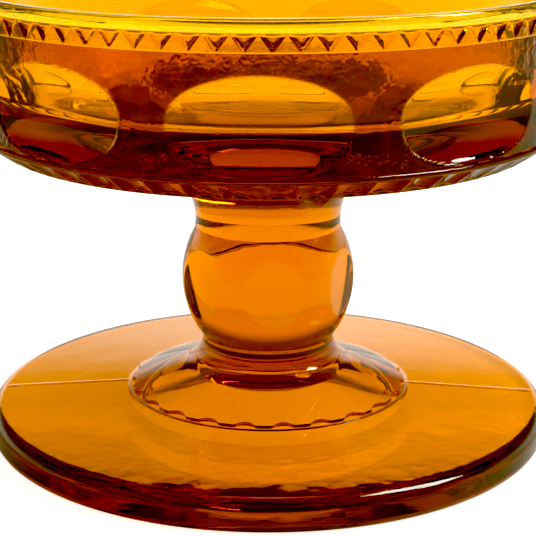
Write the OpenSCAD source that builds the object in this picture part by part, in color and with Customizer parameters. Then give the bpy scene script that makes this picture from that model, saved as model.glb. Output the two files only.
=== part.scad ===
// Footed glass candle bowl. A thick disc foot carries a scalloped skirt, a flared neck,
// a barrel knop with tall oval prints, a flared collar and a straight-sided bowl with a
// fluted base, large thumbprints and a crown of pointed teeth under a rounded lip.
// Millimetres, +Z up. The origin is on the axis, level with the foot's flat underside.

/* [Foot] */
// Diameter of the foot at its widest
foot_d = 111; // [106:1:118]
// Height of the foot's outer edge
foot_edge_h = 6.4; // [5.6:0.2:7]
// Height of the foot where the skirt sits on it
foot_top_h = 8.5; // [8:0.1:9]
// Rounding of the foot's top edge
foot_round = 2.6; // [1.5:0.1:3]
// Diameter of the hollow under the foot
hollow_d = 54; // [50:0.5:58]
// Height of the hollow under the foot
hollow_h = 6.6; // [5:0.1:7]

/* [Skirt] */
// Diameter of the skirt's hem
hem_d = 55.6; // [52:0.2:58]
// Slope of the skirt, in degrees
skirt_slope = 19; // [16:1:21]
// Number of scallops around the hem
scallops = 24; // [12:1:30]

/* [Stem] */
// Narrowest diameter, where neck and knop meet
neck_d = 26.1; // [24:0.1:28]
// Height of the joint between skirt and neck
neck_z = 14.5; // [14:0.1:15]
// Height of the joint between neck and knop
knop_z = 18.8; // [18:0.1:19.5]
// Widest diameter of the knop
knop_d = 34.2; // [33:0.1:36]
// Height of the knop
knop_h = 22.2; // [21:0.1:23]
// Number of oval prints around the knop
knop_prints = 6; // [4:1:8]
// Turn of the knop's prints against the bowl's, in degrees
knop_turn = 6; // [6:1:30]

/* [Bowl] */
// Outer diameter of the bowl's wall
bowl_d = 113.2; // [110:0.2:116]
// Diameter of the bowl's flat bottom edge
base_d = 102.4; // [98:0.2:104]
// Height of the bowl's bottom edge above the table
base_z = 58.1; // [57:0.1:59]
// Height of the line where the wall starts
wall_z = 62.6; // [62:0.1:63.5]
// Height of the floor inside the bowl
floor_z = 68.5; // [67:0.1:70]
// Inner diameter of the bowl at its floor
inner_d = 102; // [99:0.2:104]
// Inner diameter of the bowl at its lip
mouth_d = 109.4; // [107:0.2:110.4]
// Overall height
total_h = 88.4; // [87.6:0.1:90]

/* [Pattern] */
// Number of thumbprints around the wall
prints = 9; // [7:1:10]
// Width of a thumbprint
print_w = 31; // [26:0.5:33]
// Height of a thumbprint
print_h = 16.2; // [13:0.2:16.6]
// Number of flutes around the base's chamfer
flutes = 54; // [36:1:72]
// Number of notches around the crown
notches = 81; // [54:1:99]
// Height of the line under the crown
crown_z = 82.9; // [82:0.1:84]
// Depth of a notch
notch_depth = 1.1; // [0.6:0.1:1.3]

/* [Hidden] */
$fn = 96;
front = -90;                      // a print, a ridge of the flutes and a point of the hem face -Y

// Foot and skirt
foot_r = foot_d / 2;
foot_under = 0.8;                 // rounding where the edge meets the table
hollow_top_r = 10;                // flat top of the hollow, under the stem
hem_r = hem_d / 2;
ledge_h = 0.5;                    // low step that the hem stands on
hem_drop = 0.65;                  // height of the hem's own edge
scallop_r = 2.6;
scallop_out = 1;                  // scallop centres lie this far outside the hem

// The neck is a concave arc that runs out at the foot of the knop
neck_r = neck_d / 2;
flare_r = 6.6;
flare_x = neck_r + flare_r;
neck_foot_r = flare_x - sqrt(pow(flare_r, 2) - pow(knop_z - neck_z, 2));
skirt_x = flare_x - flare_r * sin(skirt_slope);
skirt_z = knop_z - flare_r * cos(skirt_slope);
hem_top_z = skirt_z - (hem_r - skirt_x) * tan(skirt_slope);

// The knop is an arc bulging to knop_d; the collar starts where it ends
knop_r = knop_d / 2;
knop_mid_z = knop_z + 11.9;
knop_arc_r = (pow(knop_r - neck_r, 2) + pow(knop_mid_z - knop_z, 2)) / (2 * (knop_r - neck_r));
knop_top_z = knop_z + knop_h;
knop_print_w = 11.6;
knop_print_h = 13.6;
knop_print_depth = knop_arc_r - sqrt(pow(knop_arc_r, 2) - pow(knop_print_h / 2, 2));
knop_print_bow = 2 * knop_print_depth / pow(knop_print_w / 2, 2) - 1 / knop_r;
knop_print_r = 1 / knop_print_bow; // radius of the upright bar that presses each oval

// The collar is a concave arc from the knop to the underside of the bowl
collar_z = 55;                    // joint between collar and bowl
collar_arc_r = 12;
collar_waist_z = 42.6;
collar_waist_r = 14.35;
collar_top_r = collar_waist_r + collar_arc_r;
under_lip_z = 0.6;                // the underside rises less than the bottom edge

// Bowl
bowl_r = bowl_d / 2;
base_r = base_d / 2;
inner_r = inner_d / 2;
mouth_r = mouth_d / 2;
floor_round = 3;
chamfer_rise = wall_z - base_z;
chamfer_run = bowl_r - base_r;
chamfer_len = norm([chamfer_run, chamfer_rise]);
chamfer_tilt = atan2(chamfer_run, chamfer_rise);
flute_r = 9;
flute_depth = 0.6;
print_z = wall_z + 0.3 + print_h / 2;
print_depth = bowl_r - sqrt(pow(bowl_r, 2) - pow(print_w / 2, 2));
print_r = (pow(print_h / 2, 2) + pow(print_depth, 2)) / (2 * print_depth);

// Crown and lip
crown_r = bowl_r + 1.3;
lip_r = (crown_r - mouth_r) / 2;  // the lip is a half round
lip_z = total_h - lip_r;
notch_foot = 0.3;                 // the notches stop this far above the line under the crown
notch_h = lip_z - crown_z - 2 * notch_foot;
notch_half = 0.94 * PI * crown_r / notches;
wall_lean = (mouth_r - inner_r) / (lip_z - floor_z - floor_round);
crown_inner_r = mouth_r - wall_lean * (lip_z - crown_z);

module foot_disc() {
    color("orange") rotate_extrude() {
        polygon([[0, hollow_h], [hollow_top_r, hollow_h], [hollow_d / 2, 0],
                 [foot_r - foot_under, 0], [foot_r, foot_under],
                 [foot_r, foot_edge_h - foot_round], [foot_r - foot_round, foot_edge_h],
                 [hem_r, foot_top_h - ledge_h], [hem_r, foot_top_h], [0, foot_top_h]]);
        translate([foot_r - foot_round, foot_edge_h - foot_round]) circle(r = foot_round);
        translate([foot_r - foot_under, foot_under]) circle(r = foot_under);
    }
}

module foot_skirt() {
    color("orange") difference() {
        rotate_extrude() difference() {
            polygon([[0, foot_top_h], [hem_r, foot_top_h], [hem_r, hem_top_z],
                     [skirt_x, skirt_z], [skirt_x, neck_z], [0, neck_z]]);
            translate([flare_x, knop_z]) circle(r = flare_r);
        }
        for (i = [0 : scallops - 1])
            rotate([0, 0, front + (i + 0.5) * 360 / scallops])
                translate([hem_r + scallop_out, 0, foot_top_h - 0.6])
                    sphere(r = scallop_r);
    }
}

module stem_neck() {
    color("darkorange") rotate_extrude() difference() {
        translate([0, neck_z]) square([neck_foot_r, knop_z - neck_z]);
        translate([flare_x, knop_z]) circle(r = flare_r);
    }
}

// Each oval is where the side of an upright round bar cuts the barrel
module knop_print() {
    translate([knop_r - knop_print_depth + knop_print_r, 0, knop_z])
        cylinder(r = knop_print_r, h = knop_h);
}

module stem_knop() {
    color("darkorange") difference() {
        rotate_extrude() intersection() {
            translate([knop_r - knop_arc_r, knop_mid_z]) circle(r = knop_arc_r);
            translate([0, knop_z]) square([knop_r + 1, knop_h]);
        }
        for (i = [0 : knop_prints - 1])
            rotate([0, 0, front + knop_turn + i * 360 / knop_prints]) knop_print();
    }
}

module stem_collar() {
    color("darkorange") rotate_extrude() difference() {
        translate([0, knop_top_z]) square([collar_top_r, collar_z - knop_top_z]);
        translate([collar_top_r, collar_waist_z]) circle(r = collar_arc_r);
    }
}

module bowl_base() {
    color("saddlebrown") difference() {
        rotate_extrude()
            polygon([[0, collar_z], [collar_top_r, collar_z], [base_r - 6, base_z - under_lip_z],
                     [base_r, base_z], [bowl_r, wall_z], [0, wall_z]]);
        for (i = [0 : flutes - 1])
            rotate([0, 0, front + (i + 0.5) * 360 / flutes])
                translate([(base_r + bowl_r) / 2, 0, (base_z + wall_z) / 2])
                    rotate([0, chamfer_tilt, 0])
                        translate([flute_r - flute_depth, 0, 0])
                            cylinder(r = flute_r, h = 2 * chamfer_len, center = true);
    }
}

// A thumbprint is where the side of a level round bar cuts the wall
module thumbprint() {
    translate([bowl_r - print_depth + print_r, 0, print_z])
        rotate([90, 0, 0]) cylinder(r = print_r, h = print_w + 4, center = true);
}

module bowl_body() {
    color("darkorange") difference() {
        translate([0, 0, wall_z]) cylinder(r = bowl_r, h = crown_z - wall_z);
        bowl_hollow();
        for (i = [0 : prints - 1])
            rotate([0, 0, front + i * 360 / prints]) thumbprint();
    }
}

// Inside of the bowl: flat floor, small rounding, straight wall opening to the mouth
module bowl_hollow() {
    rotate_extrude() {
        polygon([[0, floor_z], [inner_r - floor_round, floor_z], [inner_r, floor_z + floor_round],
                 [mouth_r, lip_z], [0, lip_z]]);
        translate([inner_r - floor_round, floor_z + floor_round]) circle(r = floor_round);
    }
}

module rim_crown() {
    color("gold") difference() {
        rotate_extrude() {
            polygon([[crown_inner_r, crown_z], [crown_r, crown_z], [crown_r, lip_z], [mouth_r, lip_z]]);
            translate([mouth_r + lip_r, lip_z]) circle(r = lip_r);
        }
        for (i = [0 : notches - 1])
            rotate([0, 0, front + (i + 0.5) * 360 / notches])
                translate([crown_r - notch_depth, 0, crown_z + notch_foot]) notch();
    }
}

// A notch points down between two teeth
module notch() {
    rotate([90, 0, 90]) linear_extrude(height = 2 * notch_depth)
        polygon([[0, 0], [notch_half, notch_h], [-notch_half, notch_h]]);
}

foot_disc();
foot_skirt();
stem_neck();
stem_knop();
stem_collar();
bowl_base();
bowl_body();
rim_crown();
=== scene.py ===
"""Looks of a footed amber glass candle bowl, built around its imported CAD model.

Every CAD node gets a finer mesh of the same shape and size. The real glass is fused, so the
level faces where two pieces meet bend no light: the mesh marks them with the attribute "joint".
"""

import math

import bpy
import numpy as np
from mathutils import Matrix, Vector

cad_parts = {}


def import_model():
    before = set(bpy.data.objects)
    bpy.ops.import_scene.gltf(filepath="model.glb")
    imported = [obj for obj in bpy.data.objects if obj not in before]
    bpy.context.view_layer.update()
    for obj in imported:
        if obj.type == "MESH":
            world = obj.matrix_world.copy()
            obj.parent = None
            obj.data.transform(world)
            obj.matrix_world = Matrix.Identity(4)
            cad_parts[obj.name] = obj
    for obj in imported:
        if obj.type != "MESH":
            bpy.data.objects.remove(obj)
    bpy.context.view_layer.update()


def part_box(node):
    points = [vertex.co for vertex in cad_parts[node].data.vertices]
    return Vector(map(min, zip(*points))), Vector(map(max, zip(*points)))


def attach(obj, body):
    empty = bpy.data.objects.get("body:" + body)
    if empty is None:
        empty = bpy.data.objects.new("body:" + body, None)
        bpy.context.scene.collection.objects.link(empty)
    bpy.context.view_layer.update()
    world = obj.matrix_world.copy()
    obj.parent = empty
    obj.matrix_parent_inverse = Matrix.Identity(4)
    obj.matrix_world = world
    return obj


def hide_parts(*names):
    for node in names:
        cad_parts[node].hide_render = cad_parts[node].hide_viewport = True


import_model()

MM = 0.001
TURN = 2 * math.pi
FRONT = -math.pi / 2          # a thumbprint faces -Y
GAP = 0.01 * MM               # half the air left between two pieces at a joint


# ---------------------------------------------------------------- sizes from the CAD frame

def size_of(part):
    """The lowest z, highest z and largest radius of a CAD node."""
    low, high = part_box(part)
    return low.z, high.z, max(high.x, -low.x)


_, FOOT_TOP, FOOT_R = size_of("foot_disc")
_, SKIRT_TOP, HEM_R = size_of("foot_skirt")
_, NECK_TOP, NECK_FOOT_R = size_of("stem_neck")
_, KNOP_TOP, KNOP_R = size_of("stem_knop")
_, COLLAR_TOP, COLLAR_R = size_of("stem_collar")
_, BASE_TOP, BOWL_R = size_of("bowl_base")
_, BODY_TOP, _ = size_of("bowl_body")
_, LIP_TOP, CROWN_R = size_of("rim_crown")


# ---------------------------------------------------------------- mesh tools

def spread(start, end, count, ends=True):
    """count numbers from start to end, as an array."""
    return np.linspace(start, end, count, endpoint=ends)


def arc(centre, radius, start, end, count):
    """Points (r, z) on an arc, angles in degrees from +r."""
    turn = np.radians(spread(start, end, count))
    return [(centre[0] + radius * math.cos(a), centre[1] + radius * math.sin(a)) for a in turn]


def line(a, b, count):
    """Points (r, z) from a to b, without b."""
    return [(a[0] + (b[0] - a[0]) * t, a[1] + (b[1] - a[1]) * t) for t in spread(0, 1, count, False)]


def smooth_min(a, b, blend):
    """The lower of a and b, with the corner rounded over about blend."""
    return 0.5 * (a + b - np.sqrt((a - b) ** 2 + blend ** 2))


def lathe(name, node, rings, columns, joints=(), closed_ring=False, pressed=None):
    """A closed mesh from rings, each (radius, height, turn) with one value or one per column.

    joints holds the index of every band of faces, between ring i and ring i + 1, that touches
    the next piece. A ring of radius 0 becomes one point. pressed maps a ring to how crinkled
    the mould left it, and so how much painted shade darkens its tint, from 0 to 1 for each column.
    """
    points, index = [], []
    even = FRONT + spread(0, TURN, columns, False)
    for radius, height, *turn in rings:
        if np.ndim(radius) == 0 and radius == 0:
            index.append([len(points)] * columns)
            points.append((0, 0, float(height)))
            continue
        theta = turn[0] if turn else even
        r = np.broadcast_to(radius, columns)
        z = np.broadcast_to(height, columns)
        index.append(list(range(len(points), len(points) + columns)))
        points.extend(zip(r * np.cos(theta), r * np.sin(theta), z))
    faces, marks = [], []
    pairs = list(zip(range(len(index) - 1), range(1, len(index))))
    if closed_ring:
        pairs.append((len(index) - 1, 0))
    for band, (low, high) in enumerate(pairs):
        for j in range(columns):
            k = (j + 1) % columns
            corners = [index[low][j], index[low][k], index[high][k], index[high][j]]
            faces.append(list(dict.fromkeys(corners)))
            marks.append(1.0 if band in joints else 0.0)
    mesh = bpy.data.meshes.new(name)
    mesh.from_pydata(points, [], faces)
    mark = mesh.attributes.new("joint", "FLOAT", "FACE")
    mark.data.foreach_set("value", marks)
    if pressed:
        weight = np.zeros(len(points))
        for i, values in pressed.items():
            weight[index[i]] = values
        mesh.attributes.new("pressed", "FLOAT", "POINT").data.foreach_set("value", weight)
    mesh.shade_smooth()
    mesh.set_sharp_from_angle(angle=math.radians(50))
    piece = bpy.data.objects.new(name, mesh)
    bpy.context.scene.collection.objects.link(piece)
    mesh.materials.append(amber)
    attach(piece, "root")
    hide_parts(node)
    return piece


# ---------------------------------------------------------------- amber glass

def node(tree, kind, **inputs):
    """A new shader node with some inputs set or linked."""
    made = tree.nodes.new(kind)
    for name, value in inputs.items():
        socket = made.inputs[int(name[1:])] if name[0] == "_" else made.inputs[name.replace("_", " ")]
        if isinstance(value, bpy.types.NodeSocket):
            tree.links.new(value, socket)
        else:
            socket.default_value = value
    return made


def maths(tree, operation, *values):
    """The result of a math node; each value is a number or a socket."""
    made = node(tree, "ShaderNodeMath", **{f"_{i}": value for i, value in enumerate(values)})
    made.operation = operation
    return made.outputs[0]


def mix(tree, factor, a, b):
    """The colour between a, a colour or a socket, and b, a colour, at the socket factor."""
    made = tree.nodes.new("ShaderNodeMix")
    made.data_type = "RGBA"
    tree.links.new(factor, made.inputs["Factor"])
    if isinstance(a, bpy.types.NodeSocket):
        tree.links.new(a, made.inputs["A"])
    else:
        made.inputs["A"].default_value = a
    made.inputs["B"].default_value = b
    return made.outputs["Result"]


def mark_of(tree, name):
    """The value of one of the mesh's own attributes."""
    made = tree.nodes.new("ShaderNodeAttribute")
    made.attribute_name = name
    return made.outputs["Fac"]


GLASS_IOR = 1.5
JOINT_IOR = 1.0001                      # a face against the next piece bends no light
CLEAR = (1, 1, 1, 1)
AMBER = (1.0, 0.13, 0.0004, 1)
WALL_SHADE_AMBER = (0.36, 0.013, 0.0001, 1)   # painted shade: a deeper brown tint on the crinkled wall between the prints stands in for the shade it shows
LIP_AMBER = (1.0, 0.45, 0.01, 1)        # the thin lip is paler
LIP_AMBER_FROM, LIP_AMBER_TO = LIP_TOP - 2.4 * MM, LIP_TOP - 2.0 * MM
DEPTH_AMBER, DEPTH_PER_METRE = (0.83, 0.71, 0.0, 1), 100.0
DULLEST = 0.05                          # roughness of the dullest patches of the polish
RELIEF = 1 * MM                         # height of a bump of 1
WAVINESS = 0.045
CRINKLE_LOW, CRINKLE_HIGH = 0.16, 0.62


def amber_tint(tree, place, pressed):
    """The first glass takes most of the green and blue, the pressed wall a darker tint as painted
    shade; the rest of the path deepens it slowly.
    """
    # painted shade: the first tint is darker on the pressed wall between the prints
    painted_wall_shade = mix(tree, pressed, AMBER, WALL_SHADE_AMBER)
    height = node(tree, "ShaderNodeSeparateXYZ", _0=place).outputs["Z"]
    thin = node(tree, "ShaderNodeMapRange", Value=height,
                From_Min=LIP_AMBER_FROM, From_Max=LIP_AMBER_TO)
    first = mix(tree, thin.outputs[0], painted_wall_shade, LIP_AMBER)
    depth = tree.nodes.new("ShaderNodeLightPath").outputs["Transmission Depth"]
    return mix(tree, maths(tree, "GREATER_THAN", depth, 0.5), first, CLEAR)


def amber_polish(tree, place, joint):
    """A smooth fire polish with duller patches, and none of them on a joint."""
    cloud = node(tree, "ShaderNodeTexNoise", Vector=place, Scale=90.0, Detail=3.0)
    polish = node(tree, "ShaderNodeMapRange", Value=cloud.outputs["Fac"],
                  From_Min=0.35, From_Max=0.75, To_Min=0.0, To_Max=DULLEST)
    return maths(tree, "MULTIPLY", polish.outputs[0], maths(tree, "SUBTRACT", 1.0, joint))


def amber_relief(tree, place, pressed):
    """The mould left the wall between the prints crinkled; everything else is only wavy."""
    wave = node(tree, "ShaderNodeTexNoise", Vector=place, Scale=140.0, Detail=2.0)
    crinkle = node(tree, "ShaderNodeTexNoise", Vector=place, Scale=420.0, Detail=2.0)
    patches = node(tree, "ShaderNodeTexNoise", Vector=place, Scale=38.0, Detail=1.0)
    depth = node(tree, "ShaderNodeMapRange", Value=patches.outputs["Fac"],
                 From_Min=0.5, From_Max=0.64, To_Min=CRINKLE_LOW, To_Max=CRINKLE_HIGH)
    masked = maths(tree, "MULTIPLY", crinkle.outputs["Fac"], pressed)
    chill = maths(tree, "MULTIPLY", masked, depth.outputs[0])
    ripple = maths(tree, "MULTIPLY", wave.outputs["Fac"], WAVINESS)
    relief = maths(tree, "ADD", chill, ripple)
    return node(tree, "ShaderNodeBump", Strength=1.0, Distance=RELIEF, Height=relief).outputs[0]


def make_amber():
    """Pressed amber glass, clear at the joints, crinkled where the wall is pressed, with painted
    shade there as a browner tint.
    """
    mat = bpy.data.materials.new("amber_glass")
    mat.use_nodes = True
    tree = mat.node_tree
    tree.nodes.clear()
    out = tree.nodes.new("ShaderNodeOutputMaterial")
    place = tree.nodes.new("ShaderNodeTexCoord").outputs["Object"]
    joint, pressed = mark_of(tree, "joint"), mark_of(tree, "pressed")
    index = node(tree, "ShaderNodeMapRange", Value=joint, To_Min=GLASS_IOR, To_Max=JOINT_IOR)
    glass = node(tree, "ShaderNodeBsdfPrincipled", Transmission_Weight=1.0,
                 Base_Color=amber_tint(tree, place, pressed), IOR=index.outputs[0],
                 Roughness=amber_polish(tree, place, joint),
                 Normal=amber_relief(tree, place, pressed))
    absorb = node(tree, "ShaderNodeVolumeAbsorption", Color=DEPTH_AMBER, Density=DEPTH_PER_METRE)
    tree.links.new(glass.outputs[0], out.inputs["Surface"])
    tree.links.new(absorb.outputs[0], out.inputs["Volume"])
    return mat


amber = make_amber()


# ---------------------------------------------------------------- foot and skirt

SCALLOPS = 24
SCALLOP_R = 2.6 * MM
SCALLOP_X = HEM_R + 1.0 * MM
SCALLOP_Z = FOOT_TOP - 0.6 * MM
HEM_COLUMNS = SCALLOPS * 24
FAR = 1.0                     # a cut that misses the hem
FLARE_R = 6.6 * MM
FLARE_X = NECK_FOOT_R + math.sqrt(FLARE_R ** 2 - (NECK_TOP - SKIRT_TOP) ** 2)
FLARE_CUT = math.degrees(math.asin((NECK_TOP - SKIRT_TOP) / FLARE_R))
SKIRT_SLOPE = 19
CONE_FALL = math.tan(math.radians(SKIRT_SLOPE))
CONE_TOP_R = FLARE_X - FLARE_R * math.sin(math.radians(SKIRT_SLOPE))
CONE_TOP_Z = NECK_TOP - FLARE_R * math.cos(math.radians(SKIRT_SLOPE))
HEM_JOINT_R = HEM_R - 0.25 * MM


def skirt_z(radius):
    """Height of the skirt's cone at a radius."""
    return CONE_TOP_Z - (radius - CONE_TOP_R) * CONE_FALL


def hem(height=None, shrink=0.0):
    """Scalloped radius of the hem for every column, at a height or where it meets the cone."""
    turn = spread(0, TURN, HEM_COLUMNS, False)
    pitch = TURN / SCALLOPS
    off = np.mod(turn, pitch) - pitch / 2
    radius = np.full(HEM_COLUMNS, HEM_R - shrink)
    # The height on the cone hangs on the radius, so the two settle in a few rounds
    for _ in range(6):
        z = skirt_z(radius) if height is None else height
        ball = np.maximum(SCALLOP_R ** 2 - (z - SCALLOP_Z) ** 2, 0)
        under = ball - (SCALLOP_X * np.sin(off)) ** 2
        cut = SCALLOP_X * np.cos(off) - np.sqrt(np.maximum(under, 0))
        radius = smooth_min(np.where(under > 0, cut, FAR), HEM_R - shrink, 0.25 * MM)
    return radius


def foot_disc():
    """The thick disc: hollow underneath, a round edge, and a low ledge under the hem."""
    edge_h, top_round, under_round, ledge_h = 6.4 * MM, 2.6 * MM, 1.6 * MM, 0.5 * MM
    # The underside is hollow: a flat top under the stem, a cone, and a soft turn to the flat ring
    hollow_h, hollow_top, hollow_r, soft = 6.6 * MM, 10 * MM, 27 * MM, 1.4 * MM
    slope = math.atan2(hollow_h, hollow_r - hollow_top)
    rings = [(0, hollow_h), (hollow_top * 0.5, hollow_h), (hollow_top - 0.5 * MM, hollow_h)]
    rings.append((hollow_top + 0.3 * MM, hollow_h - 0.25 * MM))
    turn_x = hollow_r + soft * math.tan(slope / 2)
    turn_arc = [(turn_x - soft * math.sin(t), soft - soft * math.cos(t))
                for t in spread(slope, 0, 6)]
    rings += line((hollow_top + 1.0 * MM, hollow_h - 0.75 * MM * math.tan(slope)), turn_arc[0], 24)
    rings += turn_arc
    rings += arc((FOOT_R - under_round, under_round), under_round, -90, 0, 8)
    rings += arc((FOOT_R - top_round, edge_h - top_round), top_round, 0, 86, 18)
    first = len(rings)
    rings += line(rings[-1], (HEM_R + 0.4 * MM, FOOT_TOP - ledge_h), 44)[1:]
    last = len(rings)
    # The ledge under the hem, with its foot and its edge eased
    rings += [(HEM_R + 0.15 * MM, FOOT_TOP - 0.45 * MM), (HEM_R + 0.03 * MM, FOOT_TOP - 0.33 * MM),
              (HEM_R, FOOT_TOP - 0.2 * MM), (HEM_R - 0.05 * MM, FOOT_TOP - 0.06 * MM),
              (HEM_R - 0.2 * MM, FOOT_TOP)]
    inner = np.minimum(hem(FOOT_TOP), HEM_JOINT_R)
    joint_from = len(rings)
    rings += [(inner, FOOT_TOP), (inner * 0.6, FOOT_TOP), (inner * 0.3, FOOT_TOP), (0, FOOT_TOP)]
    # A fine mould seam runs out over the disc on the left and on the right
    seam_h, seam_w = 0.16 * MM, 0.3 * MM
    turn = spread(0, TURN, HEM_COLUMNS, False)
    for i in range(first, last):
        r, z = rings[i]
        off = np.abs(np.mod(turn, math.pi) - math.pi / 2) * r
        rings[i] = (r, z + seam_h * np.exp(-(off / seam_w) ** 2))
    joints = range(joint_from, len(rings) - 1)
    lathe("foot_disc_glass", "foot_disc", rings, HEM_COLUMNS, joints)


def foot_skirt():
    """The low cone with its scalloped hem, turning up into the neck."""
    low, high = FOOT_TOP + GAP, SKIRT_TOP - GAP
    base = np.minimum(hem(FOOT_TOP), HEM_JOINT_R)
    top = hem(None, 0.3 * MM)
    rings = [(0, low), (base * 0.5, low), (base, low)]
    edge = skirt_z(top)
    for t in spread(0.2, 0.95, 5):
        rings.append((base + (top - base) * t ** 1.5, low + (edge - low) * t))
    rings.append((top - 0.04 * MM, edge))
    # The cone starts a little inside the hem, with rings close together there
    edge_in = top - 0.1 * MM
    for t in (0.015, 0.04, 0.08, 0.14, *spread(0.22, 1, 16)):
        r = edge_in + (CONE_TOP_R - edge_in) * t
        rings.append((r, skirt_z(r)))
    rings += arc((FLARE_X, NECK_TOP), FLARE_R, 270 - SKIRT_SLOPE, 180 + FLARE_CUT, 16)[1:]
    joint_from = len(rings) - 1
    rings[-1] = (rings[-1][0], high)
    rings += [(NECK_FOOT_R / 2, high), (0, high)]
    joints = [0, 1, *range(joint_from, len(rings) - 1)]
    lathe("foot_skirt_glass", "foot_skirt", rings, HEM_COLUMNS, joints)


# ---------------------------------------------------------------- stem

def solid(name, node_name, side, columns, low, high):
    """A solid of revolution between two level joints, with side its rings from low to high."""
    rings = [(0, low + GAP), (side[0][0] * 0.5, low + GAP), (side[0][0], low + GAP)]
    rings += side[1:-1]
    rings += [(side[-1][0], high - GAP), (side[-1][0] * 0.5, high - GAP), (0, high - GAP)]
    bands = len(rings) - 1
    lathe(name, node_name, rings, columns, [0, 1, bands - 2, bands - 1])


def stem_neck():
    """The flared waist."""
    side = arc((FLARE_X, NECK_TOP), FLARE_R, 180 + FLARE_CUT, 180, 26)
    solid("stem_neck_glass", "stem_neck", side, 288, SKIRT_TOP, NECK_TOP)


KNOP_PRINTS = 6
KNOP_ARC_R = 19.5 * MM
KNOP_MID = NECK_TOP + 11.9 * MM
KNOP_TURN = math.radians(6)   # of the knop's prints against the bowl's


def stem_knop():
    """The barrel with its tall prints."""
    columns = KNOP_PRINTS * 64
    pitch = TURN / KNOP_PRINTS
    turn = spread(0, TURN, columns, False) - KNOP_TURN
    off = np.mod(turn + pitch / 2, pitch) - pitch / 2
    # Each print is nearly flat: a shallow dish with these radii across and up, in a soft edge
    print_depth, bow_across, bow_up, edge = 1.25 * MM, 90 * MM, 300 * MM, 0.22 * MM
    side = []
    for z in spread(NECK_TOP, KNOP_TOP, 96):
        up = z - KNOP_MID
        barrel = KNOP_R - KNOP_ARC_R + math.sqrt(KNOP_ARC_R ** 2 - up ** 2)
        across = barrel * np.sin(off)
        cut = KNOP_R - print_depth + across ** 2 / (2 * bow_across) + up ** 2 / (2 * bow_up)
        side.append((smooth_min(barrel, cut / np.cos(off), edge), z))
    solid("stem_knop_glass", "stem_knop", side, columns, NECK_TOP, KNOP_TOP)


def stem_collar():
    """The flare that carries the bowl."""
    arc_r, waist = 12 * MM, KNOP_TOP + 1.6 * MM
    start = 180 + math.degrees(math.asin((waist - KNOP_TOP) / arc_r))
    side = arc((COLLAR_R, waist), arc_r, start, 90, 48) + [(COLLAR_R, COLLAR_TOP)]
    solid("stem_collar_glass", "stem_collar", side, 288, KNOP_TOP, COLLAR_TOP)


# ---------------------------------------------------------------- bowl

FLUTES = 54
BASE_R = 51.2 * MM
BASE_LOW = COLLAR_TOP + 3.1 * MM
GROOVE = 0.6 * MM             # depth of a flute
BEAD_R = 0.6 * MM
WALL_IN = 0.5 * MM            # the wall stands this far inside the bead under it


def bowl_base():
    """The thick disc under the bowl, with a fluted chamfer and a bead above it."""
    columns = FLUTES * 16
    turn = spread(0, TURN, columns, False)
    across = np.mod(turn, TURN / FLUTES) / (TURN / FLUTES) * 2 - 1
    groove = GROOVE * (1 - across ** 2)
    bead_low = BASE_TOP - 1.1 * MM
    edge_r = BOWL_R - 0.35 * MM
    shoulder = (BASE_R - 6 * MM, BASE_LOW - 0.6 * MM)
    side = line((COLLAR_R, COLLAR_TOP), shoulder, 10)
    side += line(shoulder, (BASE_R - 0.5 * MM, BASE_LOW - 0.05 * MM), 5)
    side.append((BASE_R - 0.2 * MM, BASE_LOW))
    run, rise = edge_r - BASE_R, bead_low - BASE_LOW
    slope = math.hypot(run, rise)
    for t in spread(0.02, 0.98, 22):
        depth = groove * (1 - abs(2 * t - 1) ** 14)
        radius = BASE_R + run * t - depth * rise / slope
        side.append((radius, BASE_LOW + rise * t + depth * run / slope))
    side += arc((BOWL_R - BEAD_R, bead_low + 0.5 * MM), BEAD_R, -62, 75, 12)
    side.append((BOWL_R - WALL_IN - 0.2 * MM, BASE_TOP))
    solid("bowl_base_glass", "bowl_base", side, columns, COLLAR_TOP, BASE_TOP)


PRINTS = 9
PRINT_W, PRINT_H, PRINT_DEPTH = 31 * MM, 16.2 * MM, 2.5 * MM
PRINT_SOFT = 0.05             # softness of a print's edge, as a share of its depth
PRINT_Z = BASE_TOP + 0.3 * MM + PRINT_H / 2
FLOOR_Z = BASE_TOP + 5.9 * MM
INNER_R, MOUTH_R = 51 * MM, 54.7 * MM
LIP_R = (CROWN_R - MOUTH_R) / 2
LIP_Z = LIP_TOP - LIP_R
FLOOR_ROUND = 3 * MM


def inner_wall(z):
    """Radius of the inside of the bowl at a height above the floor's rounding."""
    t = (z - FLOOR_Z - FLOOR_ROUND) / (LIP_Z - FLOOR_Z - FLOOR_ROUND)
    return INNER_R + (MOUTH_R - INNER_R) * t


def thumbprint(off, z):
    """Depth of the thumbprint pressed into the wall at a turn from its centre and a height."""
    across = np.abs(off * BOWL_R / (PRINT_W / 2))
    up = (z - PRINT_Z) / (PRINT_H / 2)
    # The outline is an ellipse at the top and a little squarer at the bottom
    power = 2.35 - 0.35 * up
    rise = 1 - across ** power - abs(up) ** power
    return PRINT_DEPTH * 0.5 * (rise + np.sqrt(rise ** 2 + PRINT_SOFT ** 2))


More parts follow.
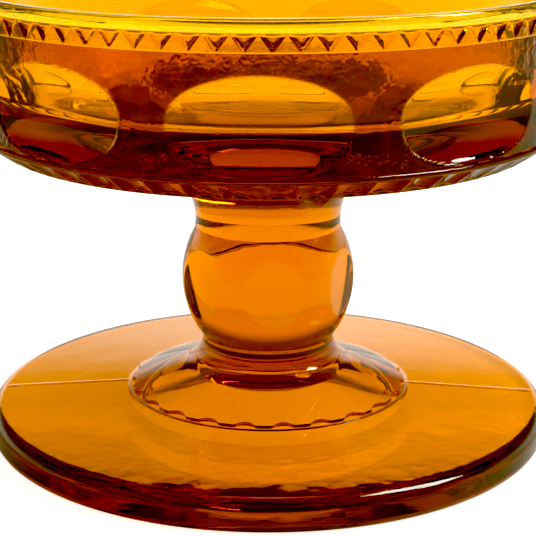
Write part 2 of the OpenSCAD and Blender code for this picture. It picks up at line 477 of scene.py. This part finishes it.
def bowl_body():
    """Floor and wall, with the thumbprints pressed into the outside."""
    columns = PRINTS * 100
    pitch = TURN / PRINTS
    turn = spread(0, TURN, columns, False)
    off = np.mod(turn + pitch / 2, pitch) - pitch / 2
    low, high = BASE_TOP + GAP, BODY_TOP - GAP
    rings = [(0, low), (0.3 * BOWL_R, low), (0.7 * BOWL_R, low)]
    wall = BOWL_R - WALL_IN
    rings.append((wall - thumbprint(off, low) - 0.1 * MM, low))
    pressed = {}
    for z in spread(low + 0.15 * MM, high - 0.05 * MM, 68):
        depth = thumbprint(off, z)
        # The crinkle, and the painted shade of the darker tint, fade out over the first tenth of a
        # millimetre of a print
        pressed[len(rings)] = np.clip(1.2 - depth / (0.1 * MM), 0, 1)
        rings.append((wall - depth, z))
    top = len(rings)
    rings += [(wall - 0.1 * MM, high), (inner_wall(high), high)]
    for z in spread(high, FLOOR_Z + FLOOR_ROUND, 12)[1:]:
        rings.append((inner_wall(z), z))
    rings += arc((INNER_R - FLOOR_ROUND, FLOOR_Z + FLOOR_ROUND), FLOOR_ROUND, 0, -90, 10)[1:]
    rings += [(r, FLOOR_Z) for r in spread(44 * MM, 4 * MM, 5)] + [(0, FLOOR_Z)]
    lathe("bowl_body_glass", "bowl_body", rings, columns, [0, 1, 2, top], pressed=pressed)


NOTCHES = 81
NOTCH_DEPTH = 0.45 * MM
LIP_FOOT = LIP_TOP - 2.3 * MM
TOOTH_SPLIT = (0, 0.35, 0.65, 0.85, 0.95)
NOTCH_SPLIT = (-1, -0.86, -0.68, -0.42, 0, 0.42, 0.68, 0.86)


def crown_columns(half):
    """Place of each column in its pitch, 0 to 1, for a notch of half width half about 0.5."""
    edge = 0.5 - half
    places = [t * edge for t in TOOTH_SPLIT]
    places += [0.5 + half * t for t in NOTCH_SPLIT]
    places += [1 - t * edge for t in (1, *reversed(TOOTH_SPLIT[1:]))]
    return np.array(places)


def rim_crown():
    """The band of pointed teeth and the lip, as one closed ring."""
    foot, head = BODY_TOP + 0.25 * MM, LIP_FOOT - 0.3 * MM
    pitch_len = TURN * CROWN_R / NOTCHES
    point, widest = 0.02, 0.47                      # half widths of a notch, as shares of its pitch
    side_run, closing_run = 0.8 * MM, 0.4 * MM      # run of a notch's sides and of its top
    low = BODY_TOP + GAP

    def column_turns(half):
        places = crown_columns(half)
        return FRONT + np.concatenate([(i + places) * TURN / NOTCHES for i in range(NOTCHES)])

    def band_ring(z):
        share = min(max((z - foot) / (head - foot), 0), 1)
        half = point + (widest - point) * share
        places = np.tile(crown_columns(half), NOTCHES)
        into = np.clip((half - np.abs(places - 0.5)) * pitch_len / side_run, 0, 1)
        close = min(max((LIP_FOOT - z) / closing_run, 0), 1)
        depth = NOTCH_DEPTH * into * close
        return (CROWN_R - depth, z, column_turns(half))

    columns = NOTCHES * len(crown_columns(widest))
    start, end = column_turns(point), column_turns(widest)
    rings = [(inner_wall(low), low, start), (BOWL_R - WALL_IN - 0.1 * MM, low, start)]
    rings += [(CROWN_R - 0.35 * MM, low, start), (CROWN_R - 0.1 * MM, low + 0.08 * MM, start)]
    rings += [band_ring(z) for z in spread(low + 0.25 * MM, LIP_FOOT, 26)]
    # A low bead on the front of the lip, a nearly flat top and a soft inner edge
    lip = arc((CROWN_R - 1.7 * MM, LIP_FOOT + 1.05 * MM), 1.7 * MM, -36, 36, 14)
    lip += arc((CROWN_R - 1.05 * MM, LIP_TOP - 0.75 * MM), 0.75 * MM, 24, 84, 6)
    lip += arc((MOUTH_R + 1.3 * MM, LIP_TOP - 1.3 * MM), 1.3 * MM, 90, 180, 12)
    rings += [(r, z, end) for r, z in lip]
    rings += [(inner_wall(z), z, end) for z in spread(LIP_TOP - 2.2 * MM, low + 0.5 * MM, 4)]
    lathe("rim_crown_glass", "rim_crown", rings, columns, [0], closed_ring=True)


for build in (foot_disc, foot_skirt, stem_neck, stem_knop, stem_collar,
              bowl_base, bowl_body, rim_crown):
    build()


# ---------------------------------------------------------------- floor, light and camera

TABLE = (0.88, 0.875, 0.86, 1)
GLOW, MIRRORED_GLOW = 0.66, 0.1
ROOM, BACKDROP = 0.22, 1.1    # strength of the dim room and of the white backdrop


def floor():
    """A white table just under the foot, with some glow of its own, like a light table.

    The glow shows straight on and through glass, and is weak as a reflection on the glass.
    """
    bpy.ops.mesh.primitive_plane_add(size=8, location=(0, 0, -0.05 * MM))
    ground = bpy.context.object
    ground.name = "floor"
    mat = bpy.data.materials.new("white_table")
    mat.use_nodes = True
    tree = mat.node_tree
    path = tree.nodes.new("ShaderNodeLightPath").outputs
    seen = maths(tree, "MAXIMUM", path["Is Camera Ray"], path["Is Transmission Ray"])
    strength = node(tree, "ShaderNodeMapRange", Value=seen, To_Min=MIRRORED_GLOW, To_Max=GLOW)
    shader = tree.nodes["Principled BSDF"]
    shader.inputs["Base Color"].default_value = TABLE
    shader.inputs["Roughness"].default_value = 0.5
    shader.inputs["Emission Color"].default_value = (1, 1, 1, 1)
    tree.links.new(strength.outputs[0], shader.inputs["Emission Strength"])
    ground.data.materials.append(mat)


def world():
    """Soft studio: a white backdrop low behind the piece, a dim room in front and overhead."""
    sky = bpy.data.worlds.new("studio")
    bpy.context.scene.world = sky
    sky.use_nodes = True
    tree = sky.node_tree
    way = tree.nodes.new("ShaderNodeTexCoord").outputs["Generated"]
    split = node(tree, "ShaderNodeSeparateXYZ", _0=way)
    low = node(tree, "ShaderNodeMapRange", Value=split.outputs["Z"],
               From_Min=0.16, From_Max=0.36, To_Min=1.0, To_Max=0.0)
    low.interpolation_type = "SMOOTHSTEP"
    behind = node(tree, "ShaderNodeMapRange", Value=split.outputs["Y"],
                  From_Min=-0.6, From_Max=0.35, To_Min=0.25, To_Max=1.0)
    behind.interpolation_type = "SMOOTHSTEP"
    backdrop = maths(tree, "MULTIPLY", low.outputs[0], behind.outputs[0])
    bright = node(tree, "ShaderNodeMapRange", Value=backdrop, To_Min=ROOM, To_Max=BACKDROP)
    tree.links.new(bright.outputs[0], tree.nodes["Background"].inputs["Strength"])
    tree.nodes["Background"].inputs["Color"].default_value = (1, 1, 1, 1)


def light(name, place, target, size, power):
    """A soft rectangular lamp facing target."""
    data = bpy.data.lights.new(name, "AREA")
    data.shape = "RECTANGLE"
    data.size, data.size_y = size
    data.energy = power
    lamp = bpy.data.objects.new(name, data)
    bpy.context.scene.collection.objects.link(lamp)
    lamp.location = place
    lamp.rotation_euler = (Vector(target) - Vector(place)).to_track_quat("-Z", "Y").to_euler()


def camera():
    """At the photograph's angle: 16 degrees above, near a thumbprint's centre."""
    data = bpy.data.cameras.new("camera")
    data.lens = 107.46
    data.sensor_width = 36
    data.clip_start = 0.01
    eye = bpy.data.objects.new("camera", data)
    bpy.context.scene.collection.objects.link(eye)
    away, height, pitch, side = 0.30635, 0.11957, math.radians(15.98), math.radians(1.5)
    eye.location = (away * math.sin(side), -away * math.cos(side), height)
    eye.rotation_euler = (math.pi / 2 - pitch, 0, side)
    bpy.context.scene.camera = eye


floor()
world()
light("window", (1.0, -0.05, 1.25), (0, 0, 0), (0.45, 0.9), 18)
camera()

scene = bpy.context.scene
scene.view_settings.view_transform = "Standard"
scene.view_settings.use_curve_mapping = True
scene.view_settings.curve_mapping.black_level = (0.038, 0.038, 0.08)
scene.view_settings.curve_mapping.white_level = (0.82, 0.81, 0.82)
scene.cycles.use_denoising = True
scene.cycles.max_bounces = 32
scene.cycles.transmission_bounces = 32
scene.cycles.glossy_bounces = 16
